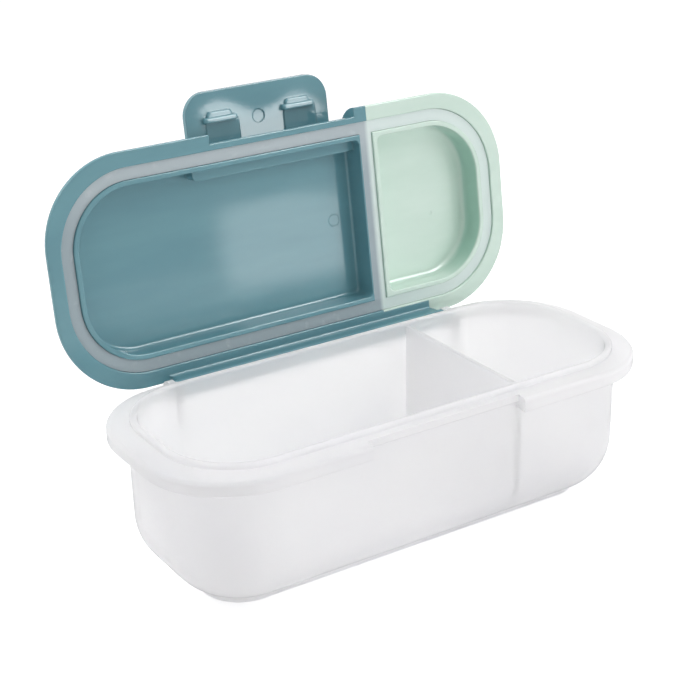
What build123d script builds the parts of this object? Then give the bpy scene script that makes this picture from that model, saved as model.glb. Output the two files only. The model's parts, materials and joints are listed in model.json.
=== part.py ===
from build123d import *
import math
import os

# Child's snack and dip container: a two-compartment tub with a hinged two-tone lid.
# Millimetres. X runs along the box, -Y is the latch side, +Z is up, and Z = 0 is the table.
# The lid and the latch are drawn shut and then turned open about their own axes.

# How far a solid reaches into the one it joins, or a cutter past the one it cuts
overlap = 1.0

# Tub: the rim's outline and the lip's height drive the rest
rim_length = 185.0
rim_width = 78.8
rim_radius = 29.6
lip_top_height = 54.6
lip_thickness = 2.4
lip_round = 1.1
lip_above_rim = 2.5
rim_edge_round = 1.4
flange_rise = 0.8
flange_slope_inset = 1.6
flange_thickness = 1.8
skirt_depth = 4.9
skirt_wall = 1.8
skirt_edge_round = 0.5
body_end_inset = 6.3
body_side_inset = 4.8
body_corner_inset = 4.0
body_draft = 0.8
bottom_round = 18.4
mouth_draft = 1.0
floor_thickness = 2.2
inner_round = 15.0
foot_end_inset = 12.2
foot_side_inset = 12.9
foot_radius = 14.0
foot_height = 1.4
foot_edge_round = 0.5
divider_centre = 33.0
divider_thickness = 1.8
divider_draft = 0.6
divider_drop = 1.2
divider_edge_round = 0.6

# Sealing line, which the tub's lip and the lid's groove both follow
seal_end_inset = 8.3
seal_side_inset = 6.9
seal_corner_inset = 5.3
groove_width = 4.4
groove_depth = 2.9
seal_face_gap = 0.3
seal_side_gap = 0.1

# Lid
lid_end_inset = 1.2
lid_side_overhang = 0.65
lid_corner_inset = 0.1
lid_edge_thickness = 2.0
lid_edge_round = 0.8
lid_underside_round = 0.4
face_edge_round = 0.25
lid_open_angle = 98.0
lid_face_drop = 0.5
groove_roof = 1.6
groove_side_wall = 1.4
shoulder_round = 1.4
ring_width = 1.7
tray_depth = 9.0
lid_roof = 1.7
plateau_draft = 4.0
plateau_inset = 0.5
plateau_round = 2.2
recess_draft = 2.0
bar_width = 5.4
bar_offset = 0.3
tray_ring_width = 0.6
tray_corner = 1.8
tray_floor_round = 0.9
cup_ring_width = 1.7
cup_corner = 2.4
cup_floor_round = 2.2
two_tone_offset = 0.9
two_tone_margin = 0.6
gate_mark_depth = 0.12
tray_mark_x = 22.0
tray_mark_radius = 2.2
cup_mark_x = 64.0
cup_mark_y = 5.3
cup_mark_radius = 0.6

# Lid hinge
hinge_back = 0.95
hinge_drop = 5.8
barrel_radius = 2.9
barrel_half = 55.4
hinge_block_half = 54.0
hinge_block_gap = 0.7
hinge_crease_round = 0.5
hinge_pin_radius = 1.5
pin_clearance = 0.06
ear_gap = 0.5
ear_thickness = 2.4
ear_radius = 3.3
gusset_thickness = 1.6
gusset_height = 16.0

# Latch
latch_width = 56.8
latch_thickness = 2.2
latch_leg_thickness = 2.0
latch_side_gap = 0.5
latch_drop = 23.4
latch_corner = 8.4
latch_bend_round = 2.8
latch_inner_bend_round = 1.0
latch_pivot_inset = 11.25
latch_pivot_rise = 7.7
latch_knuckle_radius = 1.8
latch_pin_radius = 1.2
latch_pin_length = 1.9
latch_pin_end_gap = 0.3
latch_face_gap = 0.6
latch_open_angle = 90.0
lid_notch_depth = 3.2
pocket_gap = 0.25
pocket_floor_thickness = 1.5
cheek_width = 4.5
cheek_front_rise = 1.2
cheek_crown = 7.2
cheek_drop = 0.5
cheek_flat = 1.5
ledge_margin = 1.2
ledge_wall = 2.2
ledge_corner = 2.0
hook_width = 12.8
hook_centre = 15.6
hook_drop = 12.6
hook_reach = 2.15
hook_thickness = 1.9
hook_gap = 0.4
hook_corner = 0.9
hook_lip_round = 0.4
hook_lead_round = 0.7
hump_inset = 1.5
hump_length = 1.8
hump_rise = 1.1
hump_corner = 1.5
hump_edge_round = 0.6
pad_rise = 0.35
pad_shift = 1.0
pad_end_drop = 3.0
latch_mark_radius = 2.4
latch_mark_depth = 0.3
latch_mark_rise = 0.1
catch_inset = 3.3
catch_lead = 0.5
catch_rise = 0.2
catch_margin = 0.6

# Heights that follow from the sizes above
rim_top = lip_top_height - lip_above_rim
flange_top = rim_top + flange_rise
skirt_bottom = rim_top - skirt_depth
lid_face = lip_top_height - lid_face_drop
seal_face = lip_top_height + seal_face_gap
groove_floor = lid_face + groove_depth
shoulder_top = groove_floor + groove_roof
tray_floor = lid_face + tray_depth
lid_top = tray_floor + lid_roof

# Outlines that follow from the sizes above
body_length = rim_length - 2 * body_end_inset
body_width = rim_width - 2 * body_side_inset
body_radius = rim_radius - body_corner_inset
seal_line_length = rim_length - 2 * seal_end_inset
seal_line_width = rim_width - 2 * seal_side_inset
seal_line_radius = rim_radius - seal_corner_inset
lid_length = rim_length - 2 * lid_end_inset
lid_width = rim_width + 2 * lid_side_overhang
lid_radius = rim_radius - lid_corner_inset
lid_back = lid_width / 2
bar_left = divider_centre + bar_offset - bar_width / 2
bar_right = bar_left + bar_width
tray_right = bar_left - tray_ring_width
cup_left = bar_right + cup_ring_width
two_tone_line = divider_centre + two_tone_offset
groove_outer_y = seal_line_width / 2 + groove_width / 2

# Hinge and latch positions that follow from the sizes above
hinge_y = lid_back + hinge_back
hinge_z = lid_face - hinge_drop
hinge_block_front = hinge_y - barrel_radius
relief_back = hinge_block_front - hinge_block_gap
ear_inner = barrel_half + ear_gap
ear_outer = ear_inner + ear_thickness
latch_pivot_y = -lid_back + latch_pivot_inset
latch_pivot_z = lid_face + latch_pivot_rise
pocket_half = latch_width / 2 + latch_side_gap
pocket_back = latch_pivot_y + latch_knuckle_radius + pocket_gap
pocket_floor = latch_pivot_z - latch_knuckle_radius - pocket_gap
lid_notch_face = -lid_back + lid_notch_depth
latch_face = lid_notch_face - latch_face_gap
catch_face = -rim_width / 2 + catch_inset
hook_top = latch_pivot_z - hook_drop
catch_bottom = hook_top + hook_gap
notch_half = pocket_half + catch_margin
hinge_axis = Axis((0, hinge_y, hinge_z), (1, 0, 0))
latch_axis = Axis((0, latch_pivot_y, latch_pivot_z), (1, 0, 0))


def plate(length, width, radius, low, high, taper=0.0):
    """Rounded plate between two heights; a positive taper narrows it upwards."""
    outline = Plane((0, 0, low)) * RectangleRounded(length, width, radius)
    return extrude(outline, high - low, taper=taper)


def sealPlate(offset, low, high, taper=0.0):
    """Plate whose outline lies a constant distance outside the sealing line."""
    return plate(
        seal_line_length + 2 * offset, seal_line_width + 2 * offset,
        seal_line_radius + offset, low, high, taper=taper)


def block(x_low, x_high, y_low, y_high, z_low, z_high):
    """Box between six planes."""
    centre = ((x_low + x_high) / 2, (y_low + y_high) / 2, (z_low + z_high) / 2)
    return Pos(*centre) * Box(x_high - x_low, y_high - y_low, z_high - z_low)


def sidePlane(x):
    """Plane across the box at one X, with local axes along Y and Z."""
    return Plane((x, 0, 0), x_dir=(0, 1, 0), z_dir=(1, 0, 0))


def rod(radius, half_length, y, z):
    """Cylinder along X, centred on X = 0."""
    disc = Pos(0, y, z) * (Plane.YZ * Circle(radius))
    return extrude(disc, half_length, both=True)


def sideProfile(points, x_low, x_high):
    """Polygon in the YZ plane, extruded along X."""
    outline = sidePlane(x_low) * Polygon(*points, align=None)
    return extrude(outline, x_high - x_low, dir=(1, 0, 0))


def edgesAt(solid, height):
    """Edges that lie wholly in one horizontal plane."""
    return solid.edges().filter_by_position(Axis.Z, height - 0.001, height + 0.001)


def edgesAlongX(solid, y, z):
    """The edge along X that runs nearest to a point of the side view."""
    return solid.edges().filter_by(Axis.X).sort_by(
        lambda edge: math.hypot(edge.center().Y - y, edge.center().Z - z))[0]


def makeCavity():
    """Space inside the tub, split in two by the moulded divider."""
    floor = foot_height + floor_thickness
    mouth = Plane((0, 0, lip_top_height), z_dir=(0, 0, -1)) * RectangleRounded(
        seal_line_length - lip_thickness, seal_line_width - lip_thickness,
        seal_line_radius - lip_thickness / 2)
    cavity = extrude(mouth, lip_top_height - floor, taper=mouth_draft)
    cavity = fillet(edgesAt(cavity, floor), inner_round)
    divider_top = lip_top_height - divider_drop
    top = Plane((divider_centre, 0, divider_top), z_dir=(0, 0, -1)) * Rectangle(
        divider_thickness, rim_width)
    wall = extrude(top, lip_top_height, taper=-divider_draft)
    wall = fillet(edgesAt(wall, divider_top).filter_by(Axis.Y), divider_edge_round)
    return cavity - wall


def makeRim():
    """Flange with its folded skirt, the slope up to the lip, and the lip."""
    rim = plate(rim_length, rim_width, rim_radius, skirt_bottom, rim_top)
    rim = fillet(edgesAt(rim, rim_top), rim_edge_round)
    rim = fillet(edgesAt(rim, skirt_bottom), skirt_edge_round)
    channel = plate(
        rim_length - 2 * skirt_wall, rim_width - 2 * skirt_wall, rim_radius - skirt_wall,
        skirt_bottom, rim_top - flange_thickness)
    core = plate(body_length, body_width, body_radius, skirt_bottom, rim_top)
    low_edge = Plane((0, 0, rim_top)) * RectangleRounded(
        rim_length - 2 * flange_slope_inset, rim_width - 2 * flange_slope_inset,
        rim_radius - flange_slope_inset)
    high_edge = Plane((0, 0, flange_top)) * RectangleRounded(
        seal_line_length + lip_thickness, seal_line_width + lip_thickness,
        seal_line_radius + lip_thickness / 2)
    slope = loft([low_edge, high_edge], ruled=True)
    lip = sealPlate(lip_thickness / 2, rim_top - overlap, lip_top_height)
    return rim - (channel - core) + slope + lip


def latchNotch():
    """Room in the flange and skirt for the latch flap."""
    return block(-notch_half, notch_half, -rim_width, catch_face,
                 skirt_bottom - overlap, lip_top_height)


def latchCatch():
    """Bar under the flange that the hooks hold, with a lead-in on its lower edge."""
    wall = -body_width / 2 + overlap
    top = rim_top + catch_rise
    points = [
        (wall, top), (catch_face, top), (catch_face, catch_bottom + catch_lead),
        (catch_face + catch_lead, catch_bottom), (wall, catch_bottom)]
    return sideProfile(points, -notch_half, notch_half)


def notchEnd(side):
    """Wall that closes the skirt's channel beside the notch."""
    x_low = notch_half if side > 0 else -notch_half - skirt_wall
    return block(x_low, x_low + skirt_wall, -rim_width / 2 + skirt_wall / 2,
                 -body_width / 2 + overlap, skirt_bottom + skirt_edge_round,
                 rim_top - flange_thickness / 2)


def hingeRelief():
    """Flange and skirt left out between the ears, where the lid's hinge block lies."""
    return block(-ear_inner, ear_inner, relief_back, rim_width,
                 skirt_bottom - overlap, lip_top_height)


def hingeEar(side):
    """Ear that carries one hinge pin, with a gusset down the back wall."""
    x_low = ear_inner if side > 0 else -ear_outer
    x_high = x_low + ear_thickness
    disc = sidePlane(x_low) * (Pos(hinge_y, hinge_z) * Circle(ear_radius))
    ear = extrude(disc, ear_thickness)
    root = block(x_low, x_high, body_width / 2 - overlap, hinge_y,
                 hinge_z - ear_radius, hinge_z + ear_radius)
    middle = (x_low + x_high) / 2
    wall = body_width / 2 - 2 * overlap
    gusset = sideProfile(
        [(wall, hinge_z), (hinge_y - overlap, hinge_z - ear_radius + overlap / 2),
         (wall, hinge_z - gusset_height)],
        middle - gusset_thickness / 2, middle + gusset_thickness / 2)
    return ear + root + gusset


def makeTub():
    """Tub with its lip, flange, skirt, latch catch, hinge ears and foot."""
    top = Plane((0, 0, rim_top), z_dir=(0, 0, -1)) * RectangleRounded(
        body_length, body_width, body_radius)
    body = extrude(top, rim_top - foot_height, taper=body_draft)
    body = fillet(edgesAt(body, foot_height), bottom_round)
    foot = plate(
        body_length - 2 * foot_end_inset, body_width - 2 * foot_side_inset, foot_radius,
        0, foot_height + floor_thickness)
    foot = fillet(edgesAt(foot, 0), foot_edge_round)
    tub = body + foot + makeRim()
    tub = tub - latchNotch() - hingeRelief() + latchCatch()
    for side in (-1, 1):
        tub = tub + notchEnd(side) + hingeEar(side)
    tub = tub - makeCavity()
    tub = fillet(edgesAt(tub, lip_top_height), lip_round)
    return tub - rod(hinge_pin_radius + pin_clearance, ear_outer + overlap, hinge_y, hinge_z)


def lidSolid():
    """Whole lid as one moulding, shut, before it is parted into its two colours."""
    edge = plate(lid_length, lid_width, lid_radius, lid_face, lid_face + lid_edge_thickness)
    edge = fillet(edgesAt(edge, lid_face + lid_edge_thickness), lid_edge_round)
    edge = fillet(edgesAt(edge, lid_face), lid_underside_round)
    shoulder = sealPlate(groove_width / 2 + groove_side_wall, lid_face, shoulder_top)
    shoulder = fillet(edgesAt(shoulder, shoulder_top), shoulder_round)
    plateau = sealPlate(plateau_inset - groove_width / 2, shoulder_top - overlap, lid_top,
                        taper=plateau_draft)
    plateau = fillet(edgesAt(plateau, lid_top), plateau_round)
    lid = edge + shoulder + plateau + cheek(-1) + cheek(1)
    return roundMouths(lid - trayCavity() - cupCavity() - sealGroove())


def roundMouths(lid):
    """Take the sharp edge off the groove and the recesses where they open."""
    inside = sealPlate(groove_width / 2 + groove_side_wall, lid_face - overlap,
                       lid_face + overlap)
    mouths = [edge for edge in edgesAt(lid, lid_face) if inside.is_inside(edge.position_at(0.5))]
    return fillet(mouths, face_edge_round)


def cheek(side):
    """Raised block beside the latch, rounded over towards the lid's front edge."""
    x_low = pocket_half if side > 0 else -pocket_half - cheek_width
    top = lid_top - cheek_drop
    front = (-lid_back, lid_face + cheek_front_rise)
    middle = (lid_notch_face, lid_face + cheek_crown)
    back = (latch_pivot_y - cheek_flat, top)
    curve = ThreePointArc(front, middle, back)
    rest = Polyline(back, (latch_pivot_y, top), (latch_pivot_y, lid_face),
                    (-lid_back, lid_face), front)
    outline = make_face([*curve.edges(), *rest.edges()])
    return extrude(sidePlane(x_low) * outline, cheek_width, dir=(1, 0, 0))


def recess(cut_x, direction, corner, floor_round):
    """Tapered hollow under the lid, between the ring and a straight end wall.

    The hollow lies on the side of cut_x that direction gives, +1 or -1.
    """
    full = sealPlate(-groove_width / 2 - ring_width, lid_face, tray_floor, taper=recess_draft)
    lean = direction * math.tan(math.radians(recess_draft)) * tray_depth
    far = cut_x - direction * seal_line_length
    points = [(cut_x, lid_face), (cut_x + lean, tray_floor), (far, tray_floor), (far, lid_face)]
    plane = Plane((0, 0, 0), x_dir=(1, 0, 0), z_dir=(0, -1, 0))
    keep_out = extrude(plane * Polygon(*points, align=None), seal_line_width, both=True)
    hollow = full - keep_out
    ends = [edge for edge in hollow.edges()
            if abs(edge.center().X - cut_x) < corner
            and edge.bounding_box().size.Z > tray_depth / 2]
    hollow = fillet(ends, corner)
    return fillet(edgesAt(hollow, tray_floor), floor_round)


def gateMark(x, y, radius):
    """Faint round mark that the moulding gate leaves in a recess's floor."""
    disc = Plane((x, y, tray_floor - overlap)) * Circle(radius)
    return extrude(disc, overlap + gate_mark_depth)


def trayCavity():
    """Shallow tray under the blue part of the lid."""
    tray = recess(tray_right, -1, tray_corner, tray_floor_round)
    return tray + gateMark(tray_mark_x, 0, tray_mark_radius)


def cupCavity():
    """Dip cup under the pale end of the lid."""
    cup = recess(cup_left, 1, cup_corner, cup_floor_round)
    return cup + gateMark(cup_mark_x, cup_mark_y, cup_mark_radius)


def sealLoop(gap, low, high):
    """Figure of eight: a loop on the sealing line with a bar across it."""
    half = groove_width / 2 - gap
    loop = sealPlate(half, low, high) - sealPlate(-half, low, high)
    bar = block(bar_left + gap, bar_right - gap, -seal_line_width / 2, seal_line_width / 2,
                low, high)
    return loop + bar


def sealGroove():
    """Groove for the seal."""
    return sealLoop(0, lid_face - overlap, groove_floor)


def paleRegion():
    """Space that the pale end of the lid takes up."""
    far = lid_length
    region = block(two_tone_line, far, -far, far, 0, far)
    hinge_side = block(two_tone_line - overlap, hinge_block_half,
                       groove_outer_y + two_tone_margin, far, -overlap, far + overlap)
    return region - hinge_side


def latchPocket():
    """Pocket on the lid that the latch turns in, and the notch in the lid's edge."""
    top = lid_top + overlap
    pocket = block(-pocket_half, pocket_half, -lid_width, pocket_back, pocket_floor, top)
    notch = block(-pocket_half, pocket_half, -lid_width, lid_notch_face, lid_face - overlap, top)
    return pocket + notch


def pocketLedge():
    """Underside of the latch pocket, which stands into the tray as a ledge."""
    ledge = block(-pocket_half - cheek_width - ledge_margin, tray_right + overlap,
                  pocket_back - latch_pivot_inset / 2, pocket_back + ledge_wall,
                  pocket_floor - pocket_floor_thickness, tray_floor + overlap)
    corner = ledge.edges().filter_by(Axis.Z).group_by(Axis.X)[0].sort_by(Axis.Y)[-1]
    return fillet(corner, ledge_corner)


def hingeBlock():
    """Bar under the lid's back edge that ends in the hinge barrel, with the hinge pins."""
    top = lid_face + overlap
    back = lid_back - lid_edge_round
    points = [(hinge_block_front, top), (hinge_block_front, hinge_z), (hinge_y, hinge_z),
              (hinge_y + barrel_radius / 2, hinge_z + barrel_radius / 2), (back, top)]
    bar = sideProfile(points, -hinge_block_half, hinge_block_half)
    barrel = rod(barrel_radius, barrel_half, hinge_y, hinge_z)
    pins = rod(hinge_pin_radius, ear_outer, hinge_y, hinge_z)
    return bar + barrel + pins


def makeLidShell(lid):
    """Blue part of the lid: tray, latch pocket and hinge barrel."""
    shell = lid + pocketLedge() - latchPocket()
    shell = shell - paleRegion()
    shell = shell + hingeBlock()
    crease = edgesAlongX(shell, hinge_block_front, lid_face)
    shell = fillet(crease, hinge_crease_round)
    return shell - rod(latch_pin_radius + pin_clearance,
                       pocket_half + latch_pin_length + latch_pin_end_gap,
                       latch_pivot_y, latch_pivot_z)


def makeDipCup(lid):
    """Pale end of the lid with the dip cup under it."""
    return lid & paleRegion()


def makeSeal():
    """Soft seal in the lid's groove."""
    return sealLoop(seal_side_gap, seal_face, groove_floor)


def makeLatch():
    """Latch, drawn latched: knuckle, top leg, flap and two hooks."""
    half = latch_width / 2
    outer = latch_face - latch_thickness
    top = latch_pivot_z + latch_knuckle_radius
    leg = block(-half, half, outer, latch_pivot_y, top - latch_leg_thickness, top)
    flap = block(-half, half, outer, latch_face, latch_pivot_z - latch_drop, top)
    body = leg + flap
    body = fillet(edgesAlongX(body, outer, top), latch_bend_round)
    body = fillet(edgesAlongX(body, latch_face, top - latch_leg_thickness),
                  latch_inner_bend_round)
    body = fillet(body.edges().filter_by(Axis.Y).group_by(Axis.Z)[0], latch_corner)
    body = body + rod(latch_knuckle_radius, half, latch_pivot_y, latch_pivot_z)
    body = body + rod(latch_pin_radius, pocket_half + latch_pin_length,
                      latch_pivot_y, latch_pivot_z)
    body = body + latchHook(-hook_centre) + latchHook(hook_centre)
    mark = Plane((0, latch_face, hook_top + hook_gap + latch_mark_rise), x_dir=(1, 0, 0),
                 z_dir=(0, 1, 0)) * Circle(latch_mark_radius)
    return body - extrude(mark, -latch_mark_depth)


def latchHook(centre):
    """Hook bar with a rounded hump behind it and a low pad up to the top leg."""
    half = hook_width / 2
    tip = latch_face + hook_reach
    low = hook_top - hook_thickness
    root = latch_face - overlap / 2
    bar = block(centre - half, centre + half, root, tip, low, hook_top)
    bar = fillet(bar.edges().filter_by(Axis.Z).group_by(Axis.Y)[-1], hook_corner)
    bar = fillet(edgesAlongX(bar, tip, hook_top), hook_lip_round)
    bar = fillet(edgesAlongX(bar, tip, low), hook_lead_round)
    hump = block(centre - half + hump_inset, centre + half - hump_inset, root,
                 latch_face + hump_rise, low - hump_length, low + overlap / 2)
    hump = fillet(hump.edges().filter_by(Axis.Y).group_by(Axis.Z)[0], hump_corner)
    front = hump.faces().sort_by(Axis.Y)[-1]
    hump = fillet([edge for edge in front.edges() if edge.center().Z < low], hump_edge_round)
    pad = block(centre - half + pad_shift, centre + half + pad_shift, root,
                latch_face + pad_rise, hook_top - overlap / 2, latch_pivot_z - pad_end_drop)
    return bar + hump + pad


def openLid(solid):
    """Turn a lid piece from shut to the open rest position."""
    return solid.rotate(hinge_axis, -lid_open_angle)


def openLatch(solid):
    """Turn the latch out of its hold, then open it with the lid."""
    return openLid(solid.rotate(latch_axis, -latch_open_angle))


def main():
    os.makedirs("parts", exist_ok=True)
    lid = lidSolid()
    pieces = {
        "tub": makeTub(),
        "lid_shell": openLid(makeLidShell(lid)),
        "dip_cup_lid": openLid(makeDipCup(lid)),
        "lid_seal": openLid(makeSeal()),
        "latch": openLatch(makeLatch()),
    }
    for name, solid in pieces.items():
        export_step(solid, f"parts/{name}.step")
        print(name, len(solid.solids()), round(solid.volume / 1000, 2), "cm3")


main()
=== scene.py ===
import json
import math

import bmesh
import bpy
from mathutils import Matrix, Vector

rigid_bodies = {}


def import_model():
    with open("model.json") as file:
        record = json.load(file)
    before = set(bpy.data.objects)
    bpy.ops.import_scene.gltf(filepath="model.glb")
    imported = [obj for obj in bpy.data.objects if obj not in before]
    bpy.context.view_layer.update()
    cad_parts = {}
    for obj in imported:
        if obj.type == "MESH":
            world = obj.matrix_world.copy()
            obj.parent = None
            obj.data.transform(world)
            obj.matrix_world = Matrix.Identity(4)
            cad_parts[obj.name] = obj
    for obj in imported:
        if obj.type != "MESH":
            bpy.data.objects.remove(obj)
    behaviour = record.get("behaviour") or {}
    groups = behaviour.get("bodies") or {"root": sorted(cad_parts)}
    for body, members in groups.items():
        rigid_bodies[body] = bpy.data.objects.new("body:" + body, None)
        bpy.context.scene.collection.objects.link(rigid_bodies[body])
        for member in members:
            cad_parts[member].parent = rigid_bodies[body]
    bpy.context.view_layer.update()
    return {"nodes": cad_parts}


# the start-up file's own objects are cleared away
for leftOver in list(bpy.data.objects):
    bpy.data.objects.remove(leftOver)

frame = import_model()
print("frame loaded:", ", ".join(sorted(frame["nodes"])))

scene = bpy.context.scene
millimetre = 0.001


# a shader socket that takes part in ordinary sums
class Wire:
    def __init__(self, finish, socket):
        self.finish = finish
        self.socket = socket

    def __add__(self, other):
        return self.finish.maths("ADD", self, other)

    def __mul__(self, other):
        return self.finish.maths("MULTIPLY", self, other)

    def __sub__(self, other):
        return self.finish.maths("SUBTRACT", self, other)

    def __rsub__(self, other):
        return self.finish.maths("SUBTRACT", other, self)

    __radd__ = __add__
    __rmul__ = __mul__


# the nodes of one material or of the world, and the one way that they are made
class Finish:
    def __init__(self, owner, place="Object"):
        self.owner = owner
        owner.use_nodes = True
        self.tree = owner.node_tree
        self.tree.nodes.clear()
        self.where = self.node("ShaderNodeTexCoord", output=place)

    def node(self, kind, settings=None, inputs=None, output=0):
        made = self.tree.nodes.new(kind)
        for name, value in (settings or {}).items():
            setattr(made, name, value)
        for name, value in (inputs or {}).items():
            if isinstance(value, Wire):
                self.tree.links.new(value.socket, made.inputs[name])
            else:
                made.inputs[name].default_value = value
        return Wire(self, made.outputs[output]) if made.outputs else made

    def maths(self, operation, *values):
        return self.node("ShaderNodeMath", {"operation": operation}, dict(enumerate(values)))

    # soft random pattern, 0 to 1; size is that of its patches in metres
    def cloud(self, size, detail, stretch=(1, 1, 1)):
        placed = self.node("ShaderNodeMapping", {}, {"Vector": self.where, "Scale": stretch})
        return self.node("ShaderNodeTexNoise", {}, {
            "Vector": placed, "Scale": 1 / size, "Detail": detail, "Roughness": 0.55,
        })

    # 0 at low, 1 at high, and a straight rise between them
    def rise(self, value, low, high):
        return self.node("ShaderNodeMapRange", {"clamp": True}, {
            "Value": value, "From Min": low, "From Max": high,
        })

    # 1 inside a band of values, 0 outside it
    def band(self, value, low, high, soft):
        return self.rise(value, low - soft, low) * (1 - self.rise(value, high, high + soft))

    def along(self, letter):
        return self.node("ShaderNodeSeparateXYZ", {}, {0: self.where}, output=letter)

    def mixed(self, share, first, second):
        return self.node("ShaderNodeMix", {"data_type": "RGBA"}, {
            0: share, 6: first, 7: second,
        }, output=2)

    # the first colour with soft patches of the second
    def patchy(self, pattern, first, second, low=0.35, high=0.65):
        return self.mixed(self.rise(pattern, low, high), first, second)

    # the look's roughness, a little more in some patches and less in others
    def handled(self, look):
        spread = look["roughSpread"]
        return look["roughness"] - spread / 2 + spread * self.cloud(**look["handling"])

    def bump(self, height, depth, under=None):
        inputs = {"Height": height, "Distance": depth, "Strength": 1}
        if under:
            inputs["Normal"] = under
        return self.node("ShaderNodeBump", {}, inputs, output="Normal")

    # the small round that a mould leaves on every edge
    def softEdges(self, radius):
        return self.node("ShaderNodeBevel", {"samples": 6}, {"Radius": radius})

    # 1 for rays that show this straight to the eye, in a gloss or through a clear wall
    def shown(self):
        straight, gloss, through = (
            self.node("ShaderNodeLightPath", output=ray)
            for ray in ("Is Camera Ray", "Is Glossy Ray", "Is Transmission Ray")
        )
        return self.maths("MAXIMUM", straight, self.maths("MAXIMUM", gloss, through))

    def close(self, sockets):
        shader = self.node("ShaderNodeBsdfPrincipled", {}, sockets, output="BSDF")
        self.node("ShaderNodeOutputMaterial", {}, {"Surface": shader})
        return self.owner


# a colour as a paint chart gives it, 0 to 255 a channel, taken back through the screen's own curve
def chart(red, green, blue):
    def linear(level):
        share = level / 255
        return share / 12.92 if share <= 0.04045 else ((share + 0.055) / 1.055) ** 2.4

    return linear(red), linear(green), linear(blue), 1.0


def grey(level):
    return level, level, level, 1.0


def paint(nodeName, material):
    for place in frame["nodes"][nodeName].material_slots:
        place.material = material


# tub: frosted, milky polypropylene that lets soft light through; sizes and depths are in metres
tubLook = {
    "milk": chart(245, 244.6, 244.8),
    "milkDeep": chart(242, 241.6, 242.6),
    "drift": {"size": 0.045, "detail": 2, "stretch": (1, 1, 1.6)},
    "wave": {"size": 0.03, "detail": 1, "stretch": (0.6, 1, 1)},
    "waveDepth": 0.00025,
    "frost": {"size": 0.0004, "detail": 2},
    "frostDepth": 0.000012,
    "handling": {"size": 0.012, "detail": 3},
    "roughness": 0.56,
    "roughSpread": 0.1,
    "clearness": 0.68,  # the share of light that goes in instead of scattering back
    "lightBend": 1.3,
}


def frostedPlastic(name, look):
    finish = Finish(bpy.data.materials.new(name))
    waved = finish.bump(finish.cloud(**look["wave"]), look["waveDepth"])
    return finish.close({
        "Base Color": finish.patchy(finish.cloud(**look["drift"]), look["milk"], look["milkDeep"]),
        "Roughness": finish.handled(look),
        "Transmission Weight": look["clearness"],
        "IOR": look["lightBend"],
        "Normal": finish.bump(finish.cloud(**look["frost"]), look["frostDepth"], waved),
    })


# what the glossy pieces share: pigmented polypropylene straight from a polished mould
mouldLook = {
    "sinkDepth": 0.0002,
    "grain": {"size": 0.0006, "detail": 2},
    "grainDepth": 0.000004,
    "edgeRound": 0.0006,
    "handling": {"size": 0.01, "detail": 4},
    "roughSpread": 0.06,
    "lightBend": 1.49,
}


# tint changes the colour (for the mint cup it paints shade on the wall) and lean changes the
# surface, each in its own piece's way
def mouldedPlastic(name, look, tint=None, lean=None):
    finish = Finish(bpy.data.materials.new(name))
    colour = finish.patchy(finish.cloud(**look["streak"]), look["colour"], look["deepColour"])
    if tint:
        colour = tint(finish, colour)
    soft = finish.softEdges(look["edgeRound"])
    surface = finish.bump(finish.cloud(**look["sink"]), look["sinkDepth"], soft)
    if lean:
        surface = finish.bump(lean(finish), millimetre, surface)
    return finish.close({
        "Base Color": colour,
        "Roughness": finish.handled(look),
        "IOR": look["lightBend"],
        "Normal": finish.bump(finish.cloud(**look["grain"]), look["grainDepth"], surface),
    })


# blue lid shell
blueLook = {
    **mouldLook,
    "colour": chart(104, 151, 161),
    "deepColour": chart(98, 145, 156),
    "streak": {"size": 0.03, "detail": 3, "stretch": (0.5, 1.2, 2.4)},
    "sink": {"size": 0.035, "detail": 1, "stretch": (0.7, 1, 1)},
    "roughness": 0.08,
}


# latch: the same blue, glossier; its inner face is bowed and wavy, with a flat pad under each hook
latchLook = {
    **blueLook,
    "roughness": 0.06,
    "hookX": 0.0156,  # from the middle of the latch to a hook
    "hookZ": 0.1265,  # lower edge of the hooks, where their pads end
    "lean": 0.14,  # slope of the face there
    "waveLean": 0.009,  # how far the slope swings either way between the middle and a hook
    "bow": 0.00625,  # how much it changes with each millimetre of height
    "padLean": 0.115,  # slope of the flat pad under a hook
    "padHalf": 0.0066,
    "padShift": 0.001,
    "padLow": 0.1165,
    "padSoft": 0.0003,
    "faceTilt": 0.1404,  # plane of the inner face: depth gained for each metre of height
    "faceDepth": 0.0574,
    "faceSoft": 0.001,
}


# height that the bump adds to the latch's inner face, in millimetres: it turns the shine only
def latchLean(finish):
    look = latchLook
    across, up = finish.along("X"), finish.along("Z")
    turn = finish.maths("COSINE", across * (math.pi / look["hookX"]))
    height = (up - look["hookZ"]) * (1 / millimetre)
    pads = sum(
        finish.band(across, middle - look["padHalf"], middle + look["padHalf"], look["padSoft"])
        for middle in (look["padShift"] - look["hookX"], look["padShift"] + look["hookX"])
    )
    depth = finish.along("Y") - look["faceTilt"] * up
    inside = 1 - finish.rise(depth, look["faceDepth"], look["faceDepth"] + look["faceSoft"])
    flat = pads * finish.band(up, look["padLow"], look["hookZ"], look["padSoft"]) * inside
    bowed = height * (turn * look["waveLean"] - look["lean"] + height * (look["bow"] / 2))
    return bowed * (1 - flat) - height * flat * look["padLean"]


# pale mint end of the lid; its cup's wall, where it faces left, is painted a deeper green as
# painted shade
mintLook = {
    **mouldLook,
    "colour": chart(208, 228, 217),
    "deepColour": chart(201, 223, 211),
    "cupWallPaintedShade": chart(166, 204, 189),
    "streak": {"size": 0.025, "detail": 3, "stretch": (0.6, 1.2, 2)},
    "sink": {"size": 0.03, "detail": 1},
    "roughness": 0.21,
    "lidTilt": math.radians(8),  # how far the open lid leans back
    "wallTop": 0.0408,  # where the cup's wall starts and ends, measured square to the open lid
    "wallFoot": 0.0478,
    "wallSoft": 0.0008,
    "turnFrom": -0.2,  # the painted shade falls where the wall's face is turned this far to the left
    "turnTo": -0.8,
}


# painted shade: the cup's wall is painted a deeper green where it faces left, away from the light
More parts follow.
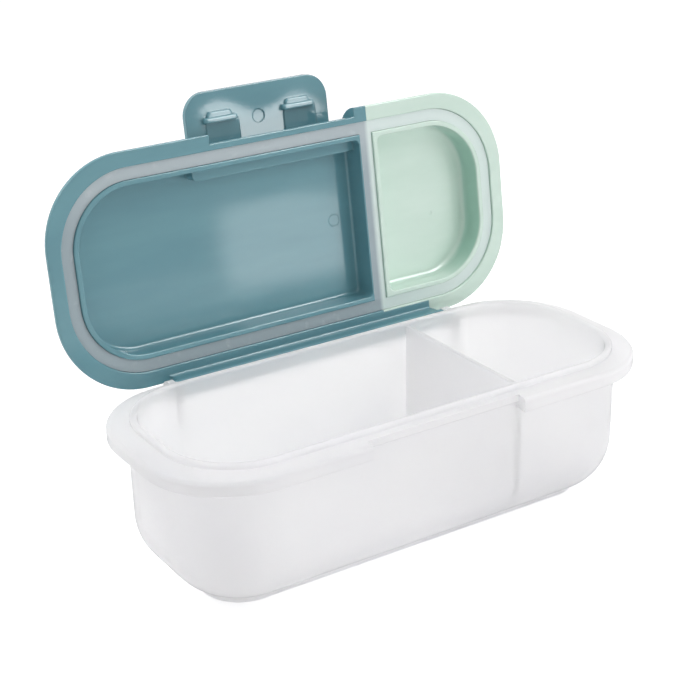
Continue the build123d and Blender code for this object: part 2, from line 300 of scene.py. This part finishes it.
def paintCupWallShade(finish, colour):
    look = mintLook
    tilt = look["lidTilt"]
    depth = math.cos(tilt) * finish.along("Y") - math.sin(tilt) * finish.along("Z")
    wall = finish.band(depth, look["wallTop"], look["wallFoot"], look["wallSoft"])
    face = finish.node("ShaderNodeNewGeometry", output="Normal")
    leftward = finish.node("ShaderNodeSeparateXYZ", {}, {0: face}, output="X")
    shadedSide = finish.rise(leftward, look["turnFrom"], look["turnTo"])
    return finish.mixed(wall * shadedSide, colour, look["cupWallPaintedShade"])


# soft seal: the colour of the lid behind shows through a little, and its upper run is paler
sealLook = {
    "overBlue": chart(154, 168, 174),
    "overMint": chart(209, 224, 220),
    "seam": 0.0339,
    "seamSoft": 0.0008,
    "pale": chart(230, 236, 238),
    "paleShare": 0.22,
    "paleFrom": 0.104,
    "paleTo": 0.118,
    "dust": {"size": 0.004, "detail": 5},
    "dustColour": chart(214, 220, 220),
    "dustShare": 0.25,
    "dustFrom": 0.6,
    "dustTo": 0.75,
    "grain": {"size": 0.0008, "detail": 3},
    "grainDepth": 0.00001,
    "handling": {"size": 0.006, "detail": 4},
    "roughness": 0.47,
    "roughSpread": 0.1,
    "lightBend": 1.42,
}


def sealSilicone(name, look):
    finish = Finish(bpy.data.materials.new(name))
    seamStart, seamEnd = look["seam"] - look["seamSoft"], look["seam"] + look["seamSoft"]
    overMint = finish.rise(finish.along("X"), seamStart, seamEnd)
    behind = finish.mixed(overMint, look["overBlue"], look["overMint"])
    high = finish.rise(finish.along("Z"), look["paleFrom"], look["paleTo"])
    clean = finish.mixed(look["paleShare"] * high, behind, look["pale"])
    dust = finish.rise(finish.cloud(**look["dust"]), look["dustFrom"], look["dustTo"])
    return finish.close({
        "Base Color": finish.mixed(look["dustShare"] * dust, clean, look["dustColour"]),
        "Roughness": finish.handled(look),
        "IOR": look["lightBend"],
        "Normal": finish.bump(finish.cloud(**look["grain"]), look["grainDepth"]),
    })


paint("tub", frostedPlastic("frosted_plastic_look", tubLook))
paint("lid_shell", mouldedPlastic("blue_plastic_look", blueLook))
paint("latch", mouldedPlastic("blue_latch_look", latchLook, lean=latchLean))
paint("dip_cup_lid", mouldedPlastic("mint_plastic_look", mintLook, tint=paintCupWallShade))
paint("lid_seal", sealSilicone("seal_silicone_look", sealLook))
print("finishes made")


# floor: white paper, kept white for the eye but still taking the object's shadow
floorLook = {
    "half": 3.0,
    "drop": 0.0002,  # how far it lies under the tub's foot
    "paper": chart(232, 232, 233),
    "roughness": 0.9,
    "nearLift": 0.42,  # glow that brings the lit paper up to white beside the object
    "farLift": 0.58,  # and far from it, where less light falls
    "farFrom": 0.5,
    "farTo": 1.6,
}


def makeFloor():
    look = floorLook
    shape = bmesh.new()
    bmesh.ops.create_grid(shape, x_segments=2, y_segments=2, size=look["half"])
    bmesh.ops.translate(shape, verts=shape.verts, vec=(0, 0, -look["drop"]))
    mesh = bpy.data.meshes.new("paper_floor")
    shape.to_mesh(mesh)
    shape.free()
    floor = bpy.data.objects.new("paper_floor", mesh)
    scene.collection.objects.link(floor)
    finish = Finish(bpy.data.materials.new("paper_floor_look"))
    reach = finish.node("ShaderNodeVectorMath", {"operation": "LENGTH"}, {
        0: finish.where,
    }, output="Value")
    farther = finish.rise(reach, look["farFrom"], look["farTo"])
    lift = finish.mixed(farther, grey(look["nearLift"]), grey(look["farLift"]))
    mesh.materials.append(finish.close({
        "Base Color": look["paper"],
        "Roughness": look["roughness"],
        "Specular IOR Level": 0.0,
        "Emission Color": finish.mixed(finish.shown(), grey(0), lift),
        "Emission Strength": 1.0,
    }))


# room: even light from all round, a little more from the right and from above
roomLook = {
    "light": 0.55,
    "fromRight": 0.08,
    "fromTop": 0.06,
    "background": 1.0,  # what the eye sees behind the object: white
}


def makeRoom():
    look = roomLook
    room = bpy.data.worlds.new("studio_room")
    scene.world = room
    finish = Finish(room, "Generated")
    sideways = look["fromRight"] * finish.along("X") + look["fromTop"] * finish.along("Z")
    strength = finish.node("ShaderNodeMapRange", {}, {
        "Value": finish.shown(), "To Min": sideways + look["light"], "To Max": look["background"],
    })
    glow = finish.node("ShaderNodeBackground", {}, {"Color": grey(1), "Strength": strength})
    finish.node("ShaderNodeOutputWorld", {}, {"Surface": glow})


# soft boxes: place, what they face, width and height, and power in watts; no gloss shows the window
lamps = {
    "window": {
        "at": (0.42, -0.50, 0.09), "aim": (0, 0.05, 0.09),
        "size": (0.5, 0.15), "power": 0.95, "glossy": False,
    },
    "front_box": {
        "at": (0.45, -0.55, 0.75), "aim": (0, 0.03, 0.05),
        "size": (0.3, 0.3), "power": 1.05,
    },
    "back_box": {
        "at": (-0.5, 0.28, 0.75), "aim": (0, 0, 0.03),
        "size": (0.4, 0.4), "power": 3.0,
    },
    "top_box": {
        "at": (0.2, -0.05, 0.9), "aim": (0, 0.01, 0.05),
        "size": (0.6, 0.4), "power": 1.3,
    },
}

# shining cards that only glosses see: they draw the light patches and the lines along the edges
cards = {
    "latch_card": {
        "at": (0.148, -0.178, 0.2187), "aim": (0, 0.075, 0.126),
        "size": (0.060, 0.0625), "power": 0.1,
    },
    "tray_card": {
        "at": (0.289, -0.45, 0.033), "aim": (0, 0.06, 0.09),
        "size": (0.1, 0.058), "power": 0.056,
    },
    "edge_card": {
        "at": (0.42, -0.33, 0.72), "aim": (0, 0.05, 0.08),
        "size": (0.4, 0.5), "power": 8,
    },
}


def makeLamp(name, lamp):
    light = bpy.data.lights.new(name, "AREA")
    light.shape = "RECTANGLE"
    light.size, light.size_y = lamp["size"]
    light.energy = lamp["power"]
    box = bpy.data.objects.new(name, light)
    scene.collection.objects.link(box)
    facing = Vector(lamp["aim"]) - Vector(lamp["at"])
    box.location = lamp["at"]
    box.rotation_euler = facing.to_track_quat("-Z", "Y").to_euler()
    box.visible_camera = False
    box.visible_glossy = lamp.get("glossy", True)
    return box


def makeCard(name, card):
    box = makeLamp(name, card)
    box.visible_diffuse = False
    box.visible_transmission = False


makeFloor()
makeRoom()
for lampName, lamp in lamps.items():
    makeLamp(lampName, lamp)
for cardName, card in cards.items():
    makeCard(cardName, card)
print("studio lit")


# the photograph's own view: angles in degrees, places in metres, the lens in pixels of the frame
photoView = {
    "turn": -32.542,
    "height": 22.696,
    "roll": -1.223,
    "slide": (-0.014521, 0.06133),
    "distance": 0.565588,
    "focalPixels": 1644.588,
    "framePixels": 680,
    "sensorWidth": 36,
    "nearest": 0.01,
    "farthest": 50,
}


def makeCamera():
    view = photoView
    turn, height, roll = (math.radians(view[key]) for key in ("turn", "height", "roll"))
    right = Vector((math.cos(turn), math.sin(turn), 0))
    back = Vector((
        math.sin(turn) * math.cos(height), -math.cos(turn) * math.cos(height), math.sin(height),
    ))
    up = back.cross(right)
    across = math.cos(roll) * right + math.sin(roll) * up
    upward = math.cos(roll) * up - math.sin(roll) * right
    spot = across * view["slide"][0] + upward * view["slide"][1] + back * view["distance"]
    lens = bpy.data.cameras.new("photo_camera")
    lens.sensor_width = view["sensorWidth"]
    lens.lens = view["focalPixels"] * view["sensorWidth"] / view["framePixels"]
    lens.clip_start = view["nearest"]
    lens.clip_end = view["farthest"]
    camera = bpy.data.objects.new("photo_camera", lens)
    scene.collection.objects.link(camera)
    axes = Matrix((across, upward, back)).transposed().to_4x4()
    camera.matrix_world = Matrix.Translation(spot) @ axes
    scene.camera = camera


# enough bounces for light to find its way through the frosted walls and out again
lightBounces = {"max_bounces": 24, "diffuse_bounces": 16, "transmission_bounces": 20}

makeCamera()
scene.view_settings.view_transform = "Standard"
for kind, most in lightBounces.items():
    setattr(scene.cycles, kind, most)
print("camera placed")
